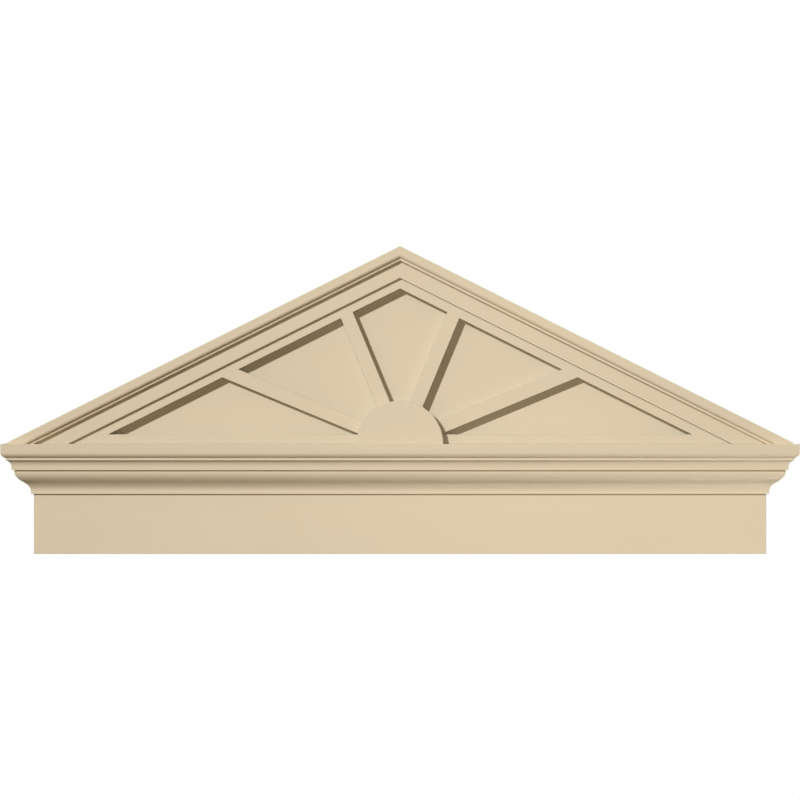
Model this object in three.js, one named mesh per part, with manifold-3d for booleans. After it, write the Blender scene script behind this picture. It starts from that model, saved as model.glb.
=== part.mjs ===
import * as THREE from "three";
import { mergeVertices } from "three/addons/utils/BufferGeometryUtils.js";
import Module from "manifold-3d";

// A classical pediment with a sunburst, made to be fixed on a wall above a window or a door.
// Millimetres. X runs along the wall, Y into it and Z up. The wall is the plane Y = 0, and the
// origin is the middle of the flat back, halfway up.

// Overall sizes
const capHalfLength = 787.5; // the cornice is 1575 long
const slopeHalfRun = 782.5; // the slopes stop a little short of the cornice's ends
const pitch = 6 / 12; // rise over run of both slopes
const gap = 0.3; // clearance between pieces that touch
const curveSteps = 12; // flats along each curve of a profile
const overrun = 10; // how far a shape that only cuts runs past what it cuts
const weldDistance = 1e-4; // corners closer than this are one corner

// Frieze
const friezeHeight = 119.7;
const friezeThickness = 19;

// Cornice, in points of reach past the frieze's face or end and drop from the cornice's top
const capHeight = 52;
const capReach = 58;
const fasciaDrop = 17.8;
const ovoloBulge = [57.6, 24.2];
const ovoloFoot = [49.3, 27.6];
const filletReach = 48.9;
const filletDrop = 32;
const coveTop = [48.2, 32.3];
const coveHollow = [40.3, 35];
const coveFoot = [38.8, 44.5];
const bedHeight = 48.3;
const ogeeTop = [33.8, 57];
const ogeeBulge = [32.4, 67.3];
const ogeeTurn = [19.5, 75.3];
const ogeeHollow = [5, 84.4];
const ogeeFoot = [5, 95];

// Gable, in depths from the wall
const backThickness = 19;
const panelFront = 38;
const boardFront = 43.8;
const slopeFront = 58;
const hubFront = 57;

// Gable, in widths measured square to the slope
const mouldingWidth = 28.3;
const rebateWidth = 14;
const boardWidth = 27.2;
const railWidth = 18.4;

// Raking moulding, in points of inset from the slope and depth from the wall
const rakeOvoloTop = [13.9, slopeFront];
const rakeOvoloBulge = [18.7, slopeFront];
const rakeOvoloFoot = [20.3, 53.5];
const rakeFilletFront = 51.6;
const rakeCoveTop = [24.9, 50.8];
const rakeCoveHollow = [25.3, 44.6];

// Sunburst
const rayWidth = 26.8;
const rayAngles = [22.5, 67.5, 112.5, 157.5];
const hubRadius = 85.4;

// Levels and angles that follow from the sizes
const rise = slopeHalfRun * pitch;
const frameFoot = -(friezeHeight + bedHeight + capHeight + rise) / 2;
const bedLevel = frameFoot + friezeHeight;
const capLevel = bedLevel + bedHeight;
const gableLevel = capLevel + capHeight;
const slope = Math.atan(pitch);
const friezeHalfLength = capHalfLength - capReach;
const boardInset = mouldingWidth + gap;
const panelInset = boardInset + boardWidth + gap;
const openingInset = boardInset + boardWidth + railWidth;

const primedTan = { color: 0xd9c9ab, roughness: 0.45, metalness: 0 };

const wasm = await Module();
wasm.setup();

// Solids that can be cut and joined

function toSolid(geometry) {
  const bare = geometry.clone();
  bare.deleteAttribute("normal");
  bare.deleteAttribute("uv");
  const merged = mergeVertices(bare, weldDistance);
  return new wasm.Manifold(new wasm.Mesh({
    numProp: 3,
    vertProperties: new Float32Array(merged.attributes.position.array),
    triVerts: new Uint32Array(merged.index.array),
  }));
}

function toPiece(name, solid) {
  const mesh = solid.getMesh();
  const geometry = new THREE.BufferGeometry();
  geometry.setAttribute("position", new THREE.BufferAttribute(mesh.vertProperties, 3));
  geometry.setIndex(new THREE.BufferAttribute(mesh.triVerts, 1));
  geometry.computeVertexNormals();
  const piece = new THREE.Mesh(geometry, new THREE.MeshStandardMaterial(primedTan));
  piece.name = name;
  return piece;
}

// Extrudes an outline along the third of three directions, from one distance to another
function extrude(shape, across, up, from, to) {
  const geometry = new THREE.ExtrudeGeometry(shape, {
    depth: to - from,
    bevelEnabled: false,
    curveSegments: curveSteps,
  });
  const along = new THREE.Vector3().crossVectors(across, up);
  geometry.translate(0, 0, from);
  geometry.applyMatrix4(new THREE.Matrix4().makeBasis(across, up, along));
  return geometry;
}

const right = new THREE.Vector3(1, 0, 0);
const upward = new THREE.Vector3(0, 0, 1);
const outOfWall = new THREE.Vector3(0, -1, 0);

// An outline on the wall, drawn as seen from the front, between two depths from the wall
function sheet(shape, fromDepth, toDepth) {
  return toSolid(extrude(shape, right, upward, fromDepth, toDepth));
}

function polygon(points) {
  return new THREE.Shape(points.map(([x, y]) => new THREE.Vector2(x, y)));
}

// Frieze and cornice

function friezeBoard() {
  return sheet(polygon([
    [-friezeHalfLength, frameFoot],
    [friezeHalfLength, frameFoot],
    [friezeHalfLength, bedLevel - gap],
    [-friezeHalfLength, bedLevel - gap],
  ]), 0, friezeThickness);
}

function capProfile() {
  const profile = new THREE.Path();
  profile.moveTo(capReach, 0);
  profile.lineTo(capReach, fasciaDrop);
  profile.quadraticCurveTo(...ovoloBulge, ...ovoloFoot);
  profile.lineTo(filletReach, ovoloFoot[1]);
  profile.lineTo(filletReach, filletDrop);
  profile.lineTo(...coveTop);
  profile.quadraticCurveTo(...coveHollow, ...coveFoot);
  profile.lineTo(coveFoot[0], capHeight);
  return profile;
}

function bedProfile() {
  const profile = new THREE.Path();
  profile.moveTo(ogeeTop[0], capHeight + gap);
  profile.lineTo(...ogeeTop);
  profile.quadraticCurveTo(...ogeeBulge, ...ogeeTurn);
  profile.quadraticCurveTo(...ogeeHollow, ...ogeeFoot);
  profile.lineTo(ogeeFoot[0], capHeight + bedHeight);
  return profile;
}

// A course is the long section of its profile, cut at both ends by the same profile
function corniceCourse(profile) {
  const steps = profile.getPoints(curveSteps);
  const level = (drop) => gableLevel - drop;
  const top = level(steps[0].y);
  const foot = level(steps[steps.length - 1].y);
  const section = polygon([
    [0, foot],
    [0, top],
    ...steps.map(({ x, y }) => [friezeThickness + x, level(y)]),
  ]);
  const ends = polygon([
    ...steps.map(({ x, y }) => [friezeHalfLength + x, level(y)]),
    ...steps.toReversed().map(({ x, y }) => [-friezeHalfLength - x, level(y)]),
  ]);
  const halfLength = capHalfLength + overrun;
  const long = toSolid(extrude(section, outOfWall, upward, -halfLength, halfLength));
  return long.intersect(sheet(ends, -overrun, friezeThickness + capReach + overrun));
}

// Gable

// The gable's triangle, drawn in from both slopes by an inset and standing on a level
function gableOutline(inset, level) {
  const apex = gableLevel + rise - inset / Math.cos(slope);
  const halfRun = (apex - level) / pitch;
  return [[-halfRun, level], [halfRun, level], [0, apex]];
}

function backPanel() {
  return sheet(polygon(gableOutline(rebateWidth + gap, gableLevel + gap)), 0, backThickness);
}

function sunburstPanel() {
  const [from, to] = [backThickness + gap, panelFront];
  const outline = gableOutline(panelInset, gableLevel + gap);
  const frame = polygon(outline);
  frame.holes.push(polygon(gableOutline(openingInset, gableLevel + railWidth)));
  const rays = rayAngles.map((degrees) => {
    const ray = new THREE.BoxGeometry(slopeHalfRun, to - from, rayWidth);
    ray.translate(slopeHalfRun / 2, -(from + to) / 2, 0);
    ray.rotateY(-THREE.MathUtils.degToRad(degrees));
    ray.translate(0, 0, gableLevel);
    return toSolid(ray);
  });
  return rays
    .reduce((whole, ray) => whole.add(ray), sheet(frame, from, to).add(halfRound(from, to)))
    .intersect(sheet(polygon(outline), from, to));
}

function halfRound(from, to) {
  const shape = new THREE.Shape();
  shape.absarc(0, gableLevel + gap, hubRadius, 0, Math.PI);
  return sheet(shape, from, to);
}

function sunburstHub() {
  return halfRound(panelFront + gap, hubFront);
}

// A bar along one slope, from a section drawn as inset from the slope against depth from the
// wall. It is cut upright at the middle and level on top of the cornice.
function slopeBar(section, side) {
  const inward = new THREE.Vector3(-side * Math.sin(slope), 0, -Math.cos(slope));
  const bar = extrude(section, inward, outOfWall, -slopeHalfRun, slopeHalfRun);
  bar.translate(side * slopeHalfRun / 2, 0, gableLevel + rise / 2);
  const quarter = new THREE.BoxGeometry(slopeHalfRun, 2 * (slopeFront + overrun), rise + gap);
  const middleCut = side * (slopeHalfRun + gap) / 2;
  quarter.translate(middleCut, 0, gableLevel + gap + (rise + gap) / 2);
  return toSolid(bar).intersect(toSolid(quarter));
}

function rakingBoard(side) {
  return slopeBar(polygon([
    [boardInset, backThickness + gap],
    [boardInset + boardWidth, backThickness + gap],
    [boardInset + boardWidth, boardFront],
    [boardInset, boardFront],
  ]), side);
}

// Fascia, ovolo, fillet and a small cove, rebated behind for the back panel
function rakingMoulding(side) {
  const section = new THREE.Shape();
  section.moveTo(0, 0);
  section.lineTo(rebateWidth, 0);
  section.lineTo(rebateWidth, backThickness + gap);
  section.lineTo(mouldingWidth, backThickness + gap);
  section.lineTo(mouldingWidth, boardFront);
  section.quadraticCurveTo(...rakeCoveHollow, ...rakeCoveTop);
  section.lineTo(rakeCoveTop[0], rakeFilletFront);
  section.lineTo(rakeOvoloFoot[0], rakeFilletFront);
  section.lineTo(...rakeOvoloFoot);
  section.quadraticCurveTo(...rakeOvoloBulge, ...rakeOvoloTop);
  section.lineTo(0, slopeFront);
  return slopeBar(section, side);
}

// The whole pediment

const pediment = new THREE.Group();
pediment.add(
  toPiece("frieze_board", friezeBoard()),
  toPiece("cornice_bed_moulding", corniceCourse(bedProfile())),
  toPiece("cornice_cap", corniceCourse(capProfile())),
  toPiece("back_panel", backPanel()),
  toPiece("sunburst_panel", sunburstPanel()),
  toPiece("sunburst_hub", sunburstHub()),
);
for (const [name, side] of [["left", -1], ["right", 1]]) {
  pediment.add(
    toPiece(`raking_board_${name}`, rakingBoard(side)),
    toPiece(`raking_moulding_${name}`, rakingMoulding(side)),
  );
}

export default pediment;
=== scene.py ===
import math

import bmesh
import bpy
from mathutils import Matrix, Vector


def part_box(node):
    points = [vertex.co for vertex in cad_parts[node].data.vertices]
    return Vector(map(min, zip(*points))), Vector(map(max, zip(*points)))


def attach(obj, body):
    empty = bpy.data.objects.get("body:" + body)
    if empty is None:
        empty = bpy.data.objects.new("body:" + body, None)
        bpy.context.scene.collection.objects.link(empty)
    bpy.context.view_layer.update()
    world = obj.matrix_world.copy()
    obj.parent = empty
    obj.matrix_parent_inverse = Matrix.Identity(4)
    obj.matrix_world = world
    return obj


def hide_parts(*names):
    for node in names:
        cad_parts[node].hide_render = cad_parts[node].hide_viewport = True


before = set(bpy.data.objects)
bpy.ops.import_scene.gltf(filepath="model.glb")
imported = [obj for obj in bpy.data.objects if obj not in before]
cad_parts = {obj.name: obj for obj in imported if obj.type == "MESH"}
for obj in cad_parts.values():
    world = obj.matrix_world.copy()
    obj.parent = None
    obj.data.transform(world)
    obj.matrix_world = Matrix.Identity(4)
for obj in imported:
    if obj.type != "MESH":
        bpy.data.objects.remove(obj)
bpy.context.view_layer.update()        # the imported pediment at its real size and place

mm = 0.001
planeTolerance = 0.02 * mm   # a point this near a plane lies in it
weldDistance = 0.005 * mm    # points this near each other become one
unstretched = (1, 1, 1)

print("frame loaded:", ", ".join(sorted(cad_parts)))

# Places that every piece is worked out from. The wall is y = 0 and the front faces -y.
friezeLow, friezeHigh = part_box("frieze_board")
bedLow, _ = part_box("cornice_bed_moulding")
capLow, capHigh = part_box("cornice_cap")
mouldingLow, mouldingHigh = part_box("raking_moulding_right")
boardLow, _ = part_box("raking_board_right")
backLow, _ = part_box("back_panel")
panelLow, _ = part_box("sunburst_panel")
hubLow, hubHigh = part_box("sunburst_hub")

friezeHalf = friezeHigh.x
bedLevel = bedLow.z         # the lower course's foot, on the frieze
capLevel = capLow.z         # the upper course's foot, on the lower one
gableLevel = capHigh.z      # the cornice's top, which the gable stands on
slopeHalfRun = mouldingHigh.x
pitch = 0.5                 # rise over run
slope = math.atan(pitch)
apexLevel = gableLevel + slopeHalfRun * pitch
hubRadius = hubHigh.x

# How far each front stands out from the wall
friezeDepth = -friezeLow.y
backDepth = -backLow.y
panelDepth = -panelLow.y
boardDepth = -boardLow.y
hubDepth = -hubLow.y
slopeDepth = -mouldingLow.y


# Camera, level and square to the wall

cameraPlan = {
    "distance": 5.18,        # from the frieze's face
    "aboveCornice": 86.7 * mm,
    "sensor": 36.0,
    "pictureWidth": 1.5936,  # what the picture spans at the frieze's face
}


def makeCamera(plan):
    data = bpy.data.cameras.new("pedimentCamera")
    data.sensor_width = plan["sensor"]
    data.lens = plan["sensor"] * plan["distance"] / plan["pictureWidth"]
    camera = bpy.data.objects.new("pedimentCamera", data)
    camera.location = (0, -friezeDepth - plan["distance"], gableLevel + plan["aboveCornice"])
    camera.rotation_euler = (math.radians(90), 0, 0)
    bpy.context.collection.objects.link(camera)
    bpy.context.scene.camera = camera


makeCamera(cameraPlan)
print("camera placed")


# The points of a quadratic curve after its start, and small helpers for meshes

def bend(start, control, end, flats):
    points = []
    for step in range(1, flats + 1):
        t = step / flats
        points.append(tuple((1 - t) ** 2 * a + 2 * t * (1 - t) * b + t ** 2 * c
                            for a, b, c in zip(start, control, end)))
    return points


def meshObject(name, mesh):
    piece = bpy.data.objects.new(name, mesh)
    bpy.context.collection.objects.link(piece)
    return piece


def lineMesh(name, points):
    mesh = bpy.data.meshes.new(name)
    mesh.from_pydata(points, [(i, i + 1) for i in range(len(points) - 1)], [])
    return mesh


def faceMesh(name, points):
    mesh = bpy.data.meshes.new(name)
    mesh.from_pydata(points, [], [list(range(len(points)))])
    return mesh


def bakeModifiers(piece):
    graph = bpy.context.evaluated_depsgraph_get()
    mesh = bpy.data.meshes.new_from_object(piece.evaluated_get(graph), depsgraph=graph)
    piece.modifiers.clear()
    piece.data = mesh


# Edges that show are eased a little. Those in a plane where pieces meet stay sharp.
def easeEdges(piece, width, joints=(), sharpFrom=28):
    mesh = piece.data
    work = bmesh.new()
    work.from_mesh(mesh)
    weight = work.edges.layers.float.new("bevel_weight_edge")
    for edge in work.edges:
        turned = len(edge.link_faces) == 2 and edge.calc_face_angle() > math.radians(sharpFrom)
        hidden = any(joint(edge.verts[0].co) and joint(edge.verts[1].co) for joint in joints)
        edge[weight] = 1.0 if turned and not hidden else 0.0
    for face in work.faces:
        face.smooth = True
    work.to_mesh(mesh)
    work.free()
    mesh.set_sharp_from_angle(angle=math.radians(sharpFrom))
    bevel = piece.modifiers.new("eased edges", "BEVEL")
    bevel.limit_method = "WEIGHT"
    bevel.width = width
    bevel.segments = 2
    bevel.harden_normals = True
    bakeModifiers(piece)


def atLevel(level):
    return lambda point: abs(point.z - level) < planeTolerance


def atDepth(depth):
    return lambda point: abs(point.y + depth) < planeTolerance


def atMiddle(point):
    return abs(point.x) < planeTolerance


# Geometry Nodes helpers: a tree with named inputs, its nodes, and sums on its sockets

class NodeTree:
    def __init__(self, name, inputs):
        self.tree = bpy.data.node_groups.new(name, "GeometryNodeTree")
        face = self.tree.interface
        face.new_socket("Geometry", in_out="INPUT", socket_type="NodeSocketGeometry")
        face.new_socket("Geometry", in_out="OUTPUT", socket_type="NodeSocketGeometry")
        for label, kind in inputs:
            face.new_socket(label, in_out="INPUT", socket_type=f"NodeSocket{kind}")
        self.start = self.tree.nodes.new("NodeGroupInput")
        self.end = self.tree.nodes.new("NodeGroupOutput")

    def read(self, label):
        return self.start.outputs[label]

    def add(self, kind, values=None, **settings):
        node = self.tree.nodes.new(kind)
        for key, value in settings.items():
            setattr(node, key, value)
        for key, value in (values or {}).items():
            self.feed(node.inputs[key], value)
        return node

    def feed(self, socket, value):
        sources = value if isinstance(value, list) else [value]
        if isinstance(sources[0], bpy.types.NodeSocket):
            for item in sources:
                self.tree.links.new(item, socket)
        else:
            socket.default_value = value

    def sum(self, operation, first, second=0.0):
        node = self.tree.nodes.new("ShaderNodeMath")
        node.operation = operation
        self.feed(node.inputs[0], first)
        self.feed(node.inputs[1], second)
        return node.outputs[0]

    def vector(self, x=0.0, y=0.0, z=0.0):
        node = self.tree.nodes.new("ShaderNodeCombineXYZ")
        for socket, value in zip(node.inputs, (x, y, z)):
            self.feed(socket, value)
        return node.outputs[0]

    def position(self):
        split = self.tree.nodes.new("ShaderNodeSeparateXYZ")
        self.feed(split.inputs[0], self.tree.nodes.new("GeometryNodeInputPosition").outputs[0])
        return split.outputs

    def place(self, geometry, position):
        node = self.add("GeometryNodeSetPosition", {"Geometry": geometry, "Position": position})
        return node.outputs[0]

    def join(self, *parts):
        node = self.tree.nodes.new("GeometryNodeJoinGeometry")
        for part in reversed(parts):
            self.tree.links.new(part, node.inputs[0])
        return node.outputs[0]

    def flip(self, geometry, selection=True):
        node = self.add("GeometryNodeFlipFaces", {"Mesh": geometry, "Selection": selection})
        return node.outputs[0]

    def weld(self, geometry):
        node = self.add("GeometryNodeMergeByDistance",
                        {"Geometry": geometry, "Distance": weldDistance})
        return node.outputs[0]

    # a face or faces pushed along a vector into a closed block
    def thicken(self, geometry, offset):
        pushed = self.add("GeometryNodeExtrudeMesh", {
            "Mesh": geometry, "Offset": offset, "Offset Scale": 1.0, "Individual": False})
        return self.weld(self.join(pushed.outputs["Mesh"], self.flip(geometry)))

    def finish(self, geometry):
        real = self.add("GeometryNodeRealizeInstances", {"Geometry": geometry}).outputs[0]
        painted = self.add("GeometryNodeSetMaterial",
                           {"Geometry": real, "Material": self.read("Finish")})
        self.tree.links.new(painted.outputs[0], self.end.inputs["Geometry"])
        return self.tree


# Gives a base mesh its tree, sets the tree's inputs and keeps the result as a plain mesh
def grow(name, mesh, tree, values):
    piece = meshObject(name, mesh)
    modifier = piece.modifiers.new("shape", "NODES")
    modifier.node_group = tree
    for item in tree.interface.items_tree:
        if item.in_out == "INPUT" and item.name in values:
            modifier[item.identifier] = values[item.name]
    bakeModifiers(piece)
    return piece


def ready(piece, *nodes):
    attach(piece, "root")
    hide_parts(*nodes)
    print("made", piece.name, len(piece.data.polygons), "faces")


# Finish: a satin tan primer on smooth foamed board. Its colour carries painted shade in inner corners
# and a painted highlight on outer edges

finish = {
    "tan": (0.692, 0.588, 0.430, 1),
    "paler": (0.704, 0.600, 0.442, 1),
    "deeper": (0.680, 0.576, 0.418, 1),
    # paler tone of the painted highlight on outer edges
    "paintedHighlightTone": (0.750, 0.650, 0.495, 1),
    # dull brown of the painted shade in inner corners
    "corner": (0.490, 0.455, 0.358, 1),
    "roughness": 0.37,
    "patchiness": 0.02,          # how far the roughness strays either way
    "cloudSize": 5.0,            # clouds to the metre
    "cloudDetail": 4.0,
    "cloudSpan": (0.3, 0.7),     # the noise's values between which the colour changes
    "grainSize": 900.0,
    "grainSpan": (0.35, 0.65),
    "grainShare": (0.25, 0.75),  # how much plain tan the grain lets through, least and most
    "grainHeight": 0.008 * mm,
    "peelSize": 260.0,
    "peelHeight": 0.012 * mm,
    "fineDetail": 2.0,           # of the grain and the peel
    "bumpStrength": 0.5,
    "edgeReach": 0.8 * mm,
    "edgeCosine": 0.72,          # of the turn at which an edge counts as full
    "paintedHighlightShare": 0.5,
    "edgeSamples": 6,
    "cornerReach": 60 * mm,
    "cornerSamples": 8,
}


class Finish:
    def __init__(self, name):
        self.material = bpy.data.materials.new(name)
        self.material.use_nodes = True
        self.nodes = self.material.node_tree.nodes
        self.links = self.material.node_tree.links
        self.shader = self.nodes["Principled BSDF"]
        self.place = self.nodes.new("ShaderNodeTexCoord").outputs["Object"]

    def noise(self, scale, detail, stretch, shift):
        turn = self.nodes.new("ShaderNodeMapping")
        turn.inputs["Scale"].default_value = stretch
        turn.inputs["Location"].default_value = shift
        self.links.new(self.place, turn.inputs["Vector"])
        node = self.nodes.new("ShaderNodeTexNoise")
        node.inputs["Scale"].default_value = scale
        node.inputs["Detail"].default_value = detail
        self.links.new(turn.outputs[0], node.inputs["Vector"])
        return node.outputs["Fac"]

    def spread(self, value, low, high, toLow=0.0, toHigh=1.0):
        node = self.nodes.new("ShaderNodeMapRange")
        limits = {"From Min": low, "From Max": high, "To Min": toLow, "To Max": toHigh}
        for key, number in limits.items():
            node.inputs[key].default_value = number
        self.links.new(value, node.inputs["Value"])
        return node.outputs[0]

    def mix(self, amount, first, second):
        node = self.nodes.new("ShaderNodeMix")
        node.data_type = "RGBA"
        self.links.new(amount, node.inputs[0])
        for socket, colour in ((node.inputs[6], first), (node.inputs[7], second)):
            if isinstance(colour, tuple):
                socket.default_value = colour
            else:
                self.links.new(colour, socket)
        return node.outputs[2]

    def bump(self, height, distance, under=None):
        node = self.nodes.new("ShaderNodeBump")
        node.inputs["Distance"].default_value = distance
        node.inputs["Strength"].default_value = finish["bumpStrength"]
        self.links.new(height, node.inputs["Height"])
        if under is not None:
            self.links.new(under, node.inputs["Normal"])
        return node.outputs[0]

    # 1 on an outer edge and 0 on a flat, from how far a rounded normal turns away; it masks the
    # painted edge highlight
    def edges(self, radius):
        rounded = self.nodes.new("ShaderNodeBevel")
        rounded.samples = finish["edgeSamples"]
        rounded.inputs["Radius"].default_value = radius
        flat = self.nodes.new("ShaderNodeNewGeometry")
        dot = self.nodes.new("ShaderNodeVectorMath")
        dot.operation = "DOT_PRODUCT"
        self.links.new(rounded.outputs[0], dot.inputs[0])
        self.links.new(flat.outputs["Normal"], dot.inputs[1])
        return self.spread(dot.outputs["Value"], 1.0, finish["edgeCosine"])

    # Mask of painted shade: 1 far inside inner corners and 0 in the open
    def corners(self, reach):
        node = self.nodes.new("ShaderNodeAmbientOcclusion")
        node.samples = finish["cornerSamples"]
        node.inputs["Distance"].default_value = reach
        return self.spread(node.outputs["AO"], 1.0, 0.0)


# Each finish shifts the same noise to a place of its own
def primedFinish(name, shift, stretch=unstretched, cornerShade=1.0):
    coat = Finish(name)
    clouds = coat.noise(finish["cloudSize"], finish["cloudDetail"], stretch, shift)
    grain = coat.noise(finish["grainSize"], finish["fineDetail"], stretch, shift)
    peel = coat.noise(finish["peelSize"], finish["fineDetail"], unstretched, shift)

    colour = coat.mix(coat.spread(clouds, *finish["cloudSpan"]), finish["deeper"], finish["paler"])
    plain = coat.spread(grain, *finish["grainSpan"], *finish["grainShare"])
    colour = coat.mix(plain, colour, finish["tan"])
    # Outer edges are lightened towards a paler tan: a painted highlight where light catches them
    paintedEdgeHighlight = coat.spread(coat.edges(finish["edgeReach"]), 0.0, 1.0, 0.0, finish["paintedHighlightShare"])
    colour = coat.mix(paintedEdgeHighlight, colour, finish["paintedHighlightTone"])
    # Inner corners and recesses are darkened towards a dull brown: painted shade standing in for the
    # dimmer light there
    paintedCornerShade = coat.spread(coat.corners(finish["cornerReach"]), 0.0, 1.0, 0.0, cornerShade)
    colour = coat.mix(paintedCornerShade, colour, finish["corner"])
    coat.links.new(colour, coat.shader.inputs["Base Color"])

    smoothest = finish["roughness"] - finish["patchiness"]
    roughest = finish["roughness"] + finish["patchiness"]
    rough = coat.spread(clouds, *finish["cloudSpan"], smoothest, roughest)
    coat.links.new(rough, coat.shader.inputs["Roughness"])
    fine = coat.bump(grain, finish["grainHeight"])
    coat.links.new(coat.bump(peel, finish["peelHeight"], fine), coat.shader.inputs["Normal"])
    return coat.material


lengthwise = (0.25, 1, 1)    # draws the clouds out along a moulding
primedBoard = primedFinish("primedBoard", shift=(0.0, 0.0, 0.0))
primedGround = primedFinish("primedGround", shift=(3.1, 1.7, 0.4))
# the mouldings get a fifth of the painted corner shade that the boards get
primedMoulding = primedFinish("primedMoulding", shift=(1.3, 4.2, 2.6),
                              stretch=lengthwise, cornerShade=0.2)
print("finishes made")


# Frieze: a plain board with its arrises eased

frieze = {"ease": 0.8 * mm}


def makeFrieze(plan):
    outline = [(-friezeHalf, 0, friezeLow.z), (friezeHalf, 0, friezeLow.z),
               (friezeHalf, 0, bedLevel), (-friezeHalf, 0, bedLevel)]
    board = NodeTree("friezeBoard", [("Thickness", "Float"), ("Finish", "Material")])
    depth = board.vector(0.0, board.sum("MULTIPLY", board.read("Thickness"), -1.0), 0.0)
    tree = board.finish(board.thicken(board.read("Geometry"), depth))
    piece = grow("friezeBoard", faceMesh("friezeBoard", outline), tree,
                 {"Thickness": friezeDepth, "Finish": primedBoard})
    easeEdges(piece, plan["ease"], [atLevel(bedLevel), atDepth(0)])
    ready(piece, "frieze_board")


makeFrieze(frieze)


# Cornice: two courses, each a profile carried along the front and back to the wall

# Points are reach past the frieze's face or end and drop from the cornice's top, in millimetres
cornice = {
    "fasciaTop": (58, 0),
    "fasciaFoot": (58, 17.8),
    "ovoloBulge": (57.6, 24.2),
    "ovoloFoot": (49.3, 27.6),
    "filletTop": (48.9, 27.6),
    "filletFoot": (48.9, 32),
    "coveTop": (48.2, 32.3),
    "coveHollow": (40.3, 35),
    "coveFoot": (38.8, 44.5),
    "capFoot": (38.8, 52),
    "bedTop": (33.8, 52),
    "ogeeTop": (33.8, 57),
    "ogeeBulge": (32.4, 67.3),
    "ogeeTurn": (19.5, 75.3),
    "ogeeHollow": (5, 84.4),
    "ogeeFoot": (5, 95),
    "bedFoot": (5, 100.3),
    "capFlats": 10,          # along each curve
    "bedFlats": 14,
    "ease": 0.3 * mm,
}


def capProfile(plan):
    flats = plan["capFlats"]
    return [
        plan["fasciaTop"], plan["fasciaFoot"],
        *bend(plan["fasciaFoot"], plan["ovoloBulge"], plan["ovoloFoot"], flats),
        plan["filletTop"], plan["filletFoot"], plan["coveTop"],
        *bend(plan["coveTop"], plan["coveHollow"], plan["coveFoot"], flats),
        plan["capFoot"],
    ]


def bedProfile(plan):
    flats = plan["bedFlats"]
    return [
        plan["bedTop"], plan["ogeeTop"],
        *bend(plan["ogeeTop"], plan["ogeeBulge"], plan["ogeeTurn"], flats),
        *bend(plan["ogeeTurn"], plan["ogeeHollow"], plan["ogeeFoot"], flats),
        plan["bedFoot"],
    ]


# Four stations, wall, corner, corner and wall, each carry the whole profile
stations = 4
middleStation = (stations - 1) / 2


def courseTree():
    course = NodeTree("mitredCourse", [
        ("Half Length", "Float"), ("Depth", "Float"), ("Top", "Float"), ("Finish", "Material")])
    profile = course.read("Geometry")
    size = course.add("GeometryNodeAttributeDomainSize", {"Geometry": profile}, component="MESH")
    count = size.outputs["Point Count"]
    index = course.add("GeometryNodeInputIndex").outputs[0]
    reach, _, drop = course.position()

    def placed(geometry, station, row):
        def sample(value):
            node = course.add("GeometryNodeSampleIndex",
                              {"Geometry": profile, "Value": value, "Index": row},
                              data_type="FLOAT", domain="POINT")
            return node.outputs[0]
        out, down = sample(reach), sample(drop)
        offMiddle = course.sum("SUBTRACT", station, middleStation)
        side = course.sum("SIGN", offMiddle)
        fromMiddle = course.sum("ABSOLUTE", offMiddle)
        front = course.sum("LESS_THAN", fromMiddle, 1.0)
        x = course.sum("MULTIPLY", side, course.sum("ADD", course.read("Half Length"), out))
        y = course.sum("MULTIPLY", course.sum("ADD", course.read("Depth"), out),
                       course.sum("MULTIPLY", front, -1.0))
        z = course.sum("SUBTRACT", course.read("Top"), down)
        return course.place(geometry, course.vector(x, y, z))

    grid = course.add("GeometryNodeMeshGrid", {"Vertices X": stations, "Vertices Y": count}).outputs[0]
    station = course.sum("FLOOR", course.sum("DIVIDE", course.sum("ADD", index, 0.5), count))
    row = course.sum("SUBTRACT", index, course.sum("MULTIPLY", station, count))
    sides = placed(grid, station, row)
    lid = course.add("GeometryNodeMeshCircle", {"Vertices": stations}, fill_type="NGON").outputs[0]
    top = placed(lid, index, 0)
    foot = placed(lid, index, course.sum("SUBTRACT", count, 1.0))
    shell = course.weld(course.join(course.flip(sides), top, course.flip(foot)))
    # the open back is one flat outline, laid down to be filled and stood up again
    neighbours = course.add("GeometryNodeInputMeshEdgeNeighbors").outputs[0]
    alone = course.add("FunctionNodeCompare", {"A": neighbours, "B": 1},
                       data_type="INT", operation="EQUAL").outputs[0]
    rim = course.add("GeometryNodeMeshToCurve", {"Mesh": shell, "Selection": alone}).outputs[0]
    laid = course.add("GeometryNodeTransform",
                      {"Geometry": rim, "Rotation": (math.radians(90), 0, 0)}).outputs[0]
    filled = course.add("GeometryNodeFillCurve", {"Curve": laid}, mode="NGONS").outputs[0]
    stood = course.add("GeometryNodeTransform",
                       {"Geometry": filled, "Rotation": (math.radians(-90), 0, 0)}).outputs[0]
    acrossX, _, upZ = course.position()
    onWall = course.place(stood, course.vector(acrossX, 0.0, upZ))
    return course.finish(course.weld(course.join(shell, onWall)))


def makeCourse(name, profile, tree, plan, joints, node):
    line = lineMesh(name, [(reach * mm, 0, drop * mm) for reach, drop in profile])
    piece = grow(name, line, tree, {
        "Half Length": friezeHalf, "Depth": friezeDepth, "Top": gableLevel,
        "Finish": primedMoulding})
    easeEdges(piece, plan["ease"], joints)
    ready(piece, node)


cornerTree = courseTree()
makeCourse("corniceCap", capProfile(cornice), cornerTree, cornice, [atDepth(0)], "cornice_cap")
makeCourse("corniceBedMoulding", bedProfile(cornice), cornerTree, cornice,
           [atDepth(0), atLevel(capLevel)], "cornice_bed_moulding")


# Gable: a triangle drawn in from both slopes, standing on a level, as a block

gable = {
    "mouldingWidth": 28.3 * mm,
    "rebate": 14 * mm,
    "boardWidth": 27.2 * mm,
    "railWidth": 18.4 * mm,
    "openingInset": 74.2 * mm,
    "ease": 0.4 * mm,
}

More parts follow.
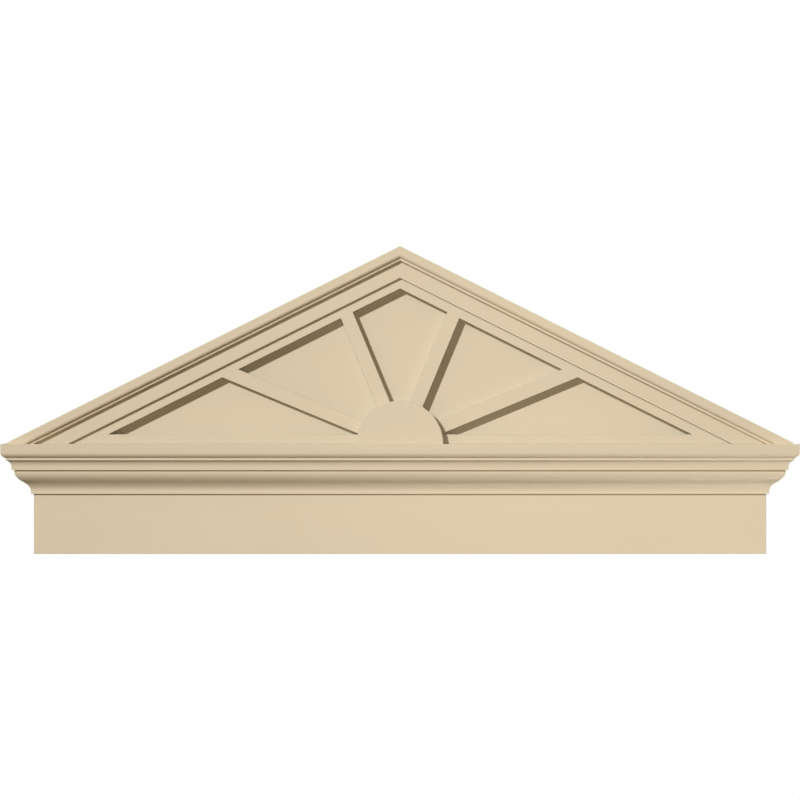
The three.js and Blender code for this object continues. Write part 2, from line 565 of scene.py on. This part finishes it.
# Points are inset from the slope and depth from the wall, in millimetres
rakingMoulding = {
    "ovoloTopInset": 13.9,
    "ovoloBulgeInset": 18.7,
    "ovoloFoot": (20.3, 53.5),
    "filletFront": 51.6,
    "coveTop": (24.9, 50.8),
    "coveHollow": (25.3, 44.6),
    "ovoloFlats": 10,
    "coveFlats": 8,
}


def gableCorners(inset, level):
    apex = apexLevel - inset / math.cos(slope)
    halfRun = (apex - level) / pitch
    return [(-halfRun, 0, level), (halfRun, 0, level), (0, 0, apex)]


def makeBackPanel(plan):
    outline = gableCorners(plan["rebate"], gableLevel)
    sheet = NodeTree("backPanel", [("Thickness", "Float"), ("Finish", "Material")])
    depth = sheet.vector(0.0, sheet.sum("MULTIPLY", sheet.read("Thickness"), -1.0), 0.0)
    tree = sheet.finish(sheet.thicken(sheet.read("Geometry"), depth))
    piece = grow("backPanel", faceMesh("backPanel", outline), tree,
                 {"Thickness": backDepth, "Finish": primedGround})
    easeEdges(piece, plan["ease"], [atLevel(gableLevel), atDepth(0), atDepth(backDepth)])
    ready(piece, "back_panel")


makeBackPanel(gable)


# A bar's section is drawn as inset from the slope against depth from the wall. It is cut
# level at its foot and upright at the middle of the gable.
def slopeBarTree():
    bar = NodeTree("slopeBar", [
        ("Half Run", "Float"), ("Foot", "Float"), ("Apex", "Float"), ("Side", "Float"),
        ("Finish", "Material")])
    block = bar.thicken(bar.read("Geometry"), (0, 0, 1))
    inset, depth, along = bar.position()
    rise = bar.sum("SUBTRACT", bar.read("Apex"), bar.read("Foot"))
    slant = bar.sum("SQRT", bar.sum("ADD", bar.sum("POWER", rise, 2.0),
                                    bar.sum("POWER", bar.read("Half Run"), 2.0)))
    insetAcross = bar.sum("DIVIDE", bar.sum("MULTIPLY", inset, slant), rise)
    insetDown = bar.sum("DIVIDE", bar.sum("MULTIPLY", inset, slant), bar.read("Half Run"))
    footX = bar.sum("SUBTRACT", bar.read("Half Run"), insetAcross)
    left = bar.sum("SUBTRACT", 1.0, along)
    x = bar.sum("MULTIPLY", bar.read("Side"), bar.sum("MULTIPLY", footX, left))
    climb = bar.sum("MULTIPLY", along, bar.sum("SUBTRACT", rise, insetDown))
    z = bar.sum("ADD", bar.read("Foot"), climb)
    y = bar.sum("MULTIPLY", depth, -1.0)
    placed = bar.place(block, bar.vector(x, y, z))
    turned = bar.flip(placed, bar.sum("LESS_THAN", bar.read("Side"), 0.0))
    return bar.finish(turned)


def mouldingSection(plan, profile):
    width, rebate = plan["mouldingWidth"] / mm, plan["rebate"] / mm
    back, board, front = backDepth / mm, boardDepth / mm, slopeDepth / mm
    coveTop, ovoloFoot = profile["coveTop"], profile["ovoloFoot"]
    ovoloTop, ovoloBulge = (profile["ovoloTopInset"], front), (profile["ovoloBulgeInset"], front)
    return [
        (0, 0), (rebate, 0), (rebate, back), (width, back), (width, board),
        *bend((width, board), profile["coveHollow"], coveTop, profile["coveFlats"]),
        (coveTop[0], profile["filletFront"]), (ovoloFoot[0], profile["filletFront"]), ovoloFoot,
        *bend(ovoloFoot, ovoloBulge, ovoloTop, profile["ovoloFlats"]),
        (0, front),
    ]


def boardSection(plan):
    back, front = backDepth / mm, boardDepth / mm
    outer = plan["mouldingWidth"] / mm
    inner = outer + plan["boardWidth"] / mm
    return [(outer, back), (inner, back), (inner, front), (outer, front)]


def atInset(inset):
    drop = inset / math.cos(slope)
    return lambda point: abs(apexLevel - drop - abs(point.x) * pitch - point.z) < planeTolerance


def makeSlopeBar(name, section, side, tree, plan, joints, node, coat):
    face = faceMesh(name, [(inset * mm, depth * mm, 0) for inset, depth in section])
    piece = grow(name, face, tree, {
        "Half Run": slopeHalfRun, "Foot": gableLevel, "Apex": apexLevel, "Side": side,
        "Finish": coat})
    easeEdges(piece, plan["ease"], [atLevel(gableLevel), atMiddle, atDepth(0), *joints])
    ready(piece, node)


barTree = slopeBarTree()
for hand, side in (("Left", -1.0), ("Right", 1.0)):
    seam = atInset(gable["mouldingWidth"])
    makeSlopeBar(f"rakingMoulding{hand}", mouldingSection(gable, rakingMoulding), side, barTree,
                 gable, [seam], f"raking_moulding_{hand.lower()}", primedMoulding)
    makeSlopeBar(f"rakingBoard{hand}", boardSection(gable), side, barTree,
                 gable, [seam, atDepth(backDepth)], f"raking_board_{hand.lower()}", primedBoard)


# Sunburst: one sheet whose openings leave a frame, the rays and a half round centre

sunburst = {
    "rayCount": 4,
    "firstAngle": 22.5,
    "angleStep": 45.0,
    "rayWidth": 26.8 * mm,
    "rayStart": 0.6,       # of the hub's radius, where neighbouring rays are clear of each other
    "hubFlats": 128,       # round the whole circle
    "cutDepth": 60 * mm,   # the openings' cutter, from the wall past the sheet's front
    "ease": 0.5 * mm,
}


def sunburstTree():
    sun = NodeTree("sunburstSheet", [
        ("Opening", "Object"), ("Ray Count", "Int"), ("First Angle", "Float"),
        ("Angle Step", "Float"), ("Ray Width", "Float"), ("Ray Length", "Float"),
        ("Ray Start", "Float"), ("Hub Radius", "Float"), ("Hub Flats", "Int"),
        ("Centre", "Float"), ("Front", "Float"), ("Back", "Float"), ("Finish", "Material")])
    middle = sun.sum("MULTIPLY", sun.sum("ADD", sun.read("Front"), sun.read("Back")), -0.5)
    tall = 0.2                                          # runs past both faces of the sheet
    centre = sun.vector(0.0, middle, sun.read("Centre"))
    block = sun.add("GeometryNodeMeshCube", {
        "Size": sun.vector(sun.read("Ray Length"), tall, sun.read("Ray Width"))}).outputs[0]
    shift = sun.sum("ADD", sun.read("Ray Start"), sun.sum("MULTIPLY", sun.read("Ray Length"), 0.5))
    ray = sun.add("GeometryNodeTransform",
                  {"Geometry": block, "Translation": sun.vector(shift, 0.0, 0.0)}).outputs[0]
    points = sun.add("GeometryNodePoints",
                     {"Count": sun.read("Ray Count"), "Position": centre}).outputs[0]
    index = sun.add("GeometryNodeInputIndex").outputs[0]
    turned = sun.sum("MULTIPLY", index, sun.read("Angle Step"))
    angle = sun.sum("ADD", sun.read("First Angle"), turned)
    turn = sun.vector(0.0, sun.sum("MULTIPLY", angle, -1.0), 0.0)
    spin = sun.add("FunctionNodeEulerToRotation", {"Euler": turn}).outputs[0]
    rays = sun.add("GeometryNodeInstanceOnPoints",
                   {"Points": points, "Instance": ray, "Rotation": spin}).outputs[0]
    realRays = sun.add("GeometryNodeRealizeInstances", {"Geometry": rays}).outputs[0]
    disc = sun.add("GeometryNodeMeshCylinder", {
        "Vertices": sun.read("Hub Flats"), "Radius": sun.read("Hub Radius"),
        "Depth": tall}).outputs["Mesh"]
    hub = sun.add("GeometryNodeTransform", {
        "Geometry": disc, "Translation": centre, "Rotation": (math.radians(90), 0, 0)}).outputs[0]
    opening = sun.add("GeometryNodeObjectInfo", {"Object": sun.read("Opening")}).outputs["Geometry"]
    cutter = sun.add("GeometryNodeMeshBoolean", {"Mesh 1": opening, "Mesh 2": [hub, realRays]},
                     operation="DIFFERENCE", solver="EXACT").outputs["Mesh"]
    sheet = sun.thicken(sun.read("Geometry"), sun.vector(
        0.0, sun.sum("SUBTRACT", sun.read("Back"), sun.read("Front")), 0.0))
    cut = sun.add("GeometryNodeMeshBoolean", {"Mesh 1": sheet, "Mesh 2": cutter},
                  operation="DIFFERENCE", solver="EXACT").outputs["Mesh"]
    return sun.finish(sun.weld(cut))


def blockMesh(name, corners, near, far):
    work = bmesh.new()
    front = [work.verts.new((x, -near, z)) for x, _, z in corners]
    back = [work.verts.new((x, -far, z)) for x, _, z in corners]
    work.faces.new(front)
    work.faces.new(back[::-1])
    for i in range(len(corners)):
        j = (i + 1) % len(corners)
        work.faces.new((front[j], front[i], back[i], back[j]))
    mesh = bpy.data.meshes.new(name)
    work.to_mesh(mesh)
    work.free()
    return mesh


def makeSunburst(plan, gablePlan):
    railInset = gablePlan["mouldingWidth"] + gablePlan["boardWidth"]
    outline = [(x, -backDepth, z) for x, _, z in gableCorners(railInset, gableLevel)]
    holeCorners = gableCorners(gablePlan["openingInset"], gableLevel + gablePlan["railWidth"])
    hole = meshObject("openingBlock", blockMesh("openingBlock", holeCorners, plan["cutDepth"], 0))
    piece = grow("sunburstPanel", faceMesh("sunburstPanel", outline), sunburstTree(), {
        "Opening": hole, "Ray Count": plan["rayCount"],
        "First Angle": math.radians(plan["firstAngle"]),
        "Angle Step": math.radians(plan["angleStep"]),
        "Ray Width": plan["rayWidth"], "Ray Length": slopeHalfRun,
        "Ray Start": plan["rayStart"] * hubRadius, "Hub Radius": hubRadius,
        "Hub Flats": plan["hubFlats"], "Centre": gableLevel,
        "Front": panelDepth, "Back": backDepth, "Finish": primedBoard})
    bpy.data.objects.remove(hole)
    easeEdges(piece, plan["ease"], [atLevel(gableLevel), atInset(railInset), atDepth(backDepth)])
    ready(piece, "sunburst_panel")


def makeHub(plan):
    steps = plan["hubFlats"] // 2
    angles = [math.pi * i / steps for i in range(steps + 1)]
    rim = [(hubRadius * math.cos(angle), 0, gableLevel + hubRadius * math.sin(angle))
           for angle in angles]
    piece = meshObject("sunburstHub", blockMesh("sunburstHub", rim, hubDepth, panelDepth))
    piece.data.materials.append(primedBoard)
    easeEdges(piece, plan["ease"], [atLevel(gableLevel), atDepth(panelDepth)])
    ready(piece, "sunburst_hub")


makeSunburst(sunburst, gable)
makeHub(sunburst)


# Studio: a pale floor far below, white all round, five soft lights and a hard one

studio = {
    "floorLevel": -3.4,
    "floorSize": 24.0,
    "floorBounce": (0.12, 0.09, 0.06, 1),   # the floor looks white and gives back a dim warm light
    "floorRoughness": 0.9,
    "ambientColour": (1.0, 0.7, 0.4, 1),
    "ambient": 0.01,
    "sunTravel": (0.68, 1.0, -0.58),
    "sunStrength": 3.2,
    "sunAngle": 0.6,
}


def makeFloor(plan):
    half = plan["floorSize"] / 2
    level = plan["floorLevel"]
    corners = [(-half, -half, level), (half, -half, level), (half, half, level), (-half, half, level)]
    floor = meshObject("paleFloor", faceMesh("paleFloor", corners))
    material = bpy.data.materials.new("paleFloor")
    material.use_nodes = True
    nodes, links = material.node_tree.nodes, material.node_tree.links
    bounce = nodes["Principled BSDF"]
    bounce.inputs["Base Color"].default_value = plan["floorBounce"]
    bounce.inputs["Roughness"].default_value = plan["floorRoughness"]
    seen = nodes.new("ShaderNodeLightPath").outputs["Is Camera Ray"]
    white = nodes.new("ShaderNodeEmission")
    mix = nodes.new("ShaderNodeMixShader")
    links.new(seen, mix.inputs[0])
    links.new(bounce.outputs[0], mix.inputs[1])
    links.new(white.outputs[0], mix.inputs[2])
    links.new(mix.outputs[0], nodes["Material Output"].inputs["Surface"])
    floor.data.materials.append(material)


def makeWorld(plan):
    world = bpy.data.worlds.new("paleStudio")
    world.use_nodes = True
    nodes, links = world.node_tree.nodes, world.node_tree.links
    ambient = nodes["Background"]
    ambient.inputs["Color"].default_value = plan["ambientColour"]
    ambient.inputs["Strength"].default_value = plan["ambient"]
    white = nodes.new("ShaderNodeBackground")
    white.inputs["Color"].default_value = (1, 1, 1, 1)
    seen = nodes.new("ShaderNodeLightPath").outputs["Is Camera Ray"]
    mix = nodes.new("ShaderNodeMixShader")
    links.new(seen, mix.inputs[0])
    links.new(ambient.outputs[0], mix.inputs[1])
    links.new(white.outputs[0], mix.inputs[2])
    links.new(mix.outputs[0], nodes["World Output"].inputs["Surface"])
    bpy.context.scene.world = world


def makeSun(plan):
    data = bpy.data.lights.new("keySun", "SUN")
    data.energy = plan["sunStrength"]
    data.angle = math.radians(plan["sunAngle"])
    light = bpy.data.objects.new("keySun", data)
    light.rotation_mode = "QUATERNION"
    light.rotation_quaternion = Vector(plan["sunTravel"]).to_track_quat("-Z", "Y")
    bpy.context.collection.objects.link(light)


# The panel's long side stays level, along x
def makePanelLight(name, place, aim, size, power, colour):
    data = bpy.data.lights.new(name, "AREA")
    data.shape = "RECTANGLE"
    data.size, data.size_y = size
    data.energy = power
    data.color = colour
    light = bpy.data.objects.new(name, data)
    back = (Vector(place) - Vector(aim)).normalized()
    across = (Vector((1, 0, 0)) - back * back.x).normalized()
    turn = Matrix((across, back.cross(across), back)).transposed()
    light.matrix_world = Matrix.Translation(place) @ turn.to_4x4()
    light.visible_camera = False
    bpy.context.collection.objects.link(light)


# The three low lights reach the undersides of the cornice's mouldings
panelLights = {
    "frontSoft": {
        "place": (0.35, -4.9, 0.05), "aim": (0, 0, 0), "size": (0.5, 0.5),
        "power": 35, "colour": (1.0, 0.84, 0.56)},
    "lowSoft": {
        "place": (1.5, -0.25, -1.5), "aim": (0.5, 0, -0.15), "size": (0.3, 0.3),
        "power": 7.6, "colour": (1.0, 0.95, 0.85)},
    "lowRight": {
        "place": (1.35, -0.08, -0.7), "aim": (0.9, -0.05, 0), "size": (0.8, 0.06),
        "power": 2.2, "colour": (0.7, 0.85, 1.0)},
    "lowMiddle": {
        "place": (0.45, -0.07, -1.1), "aim": (0.45, -0.05, 0), "size": (1.0, 0.06),
        "power": 1.6, "colour": (1.0, 0.92, 0.85)},
    "behindSoft": {
        "place": (0.8, 3.6, 2.0), "aim": (0, 0, 0), "size": (3.0, 3.0),
        "power": 160, "colour": (1.0, 0.98, 0.95)},
}

makeFloor(studio)
makeWorld(studio)
makeSun(studio)
for name, plan in panelLights.items():
    makePanelLight(name, **plan)
bpy.context.scene.view_settings.view_transform = "Standard"
print("studio lit")
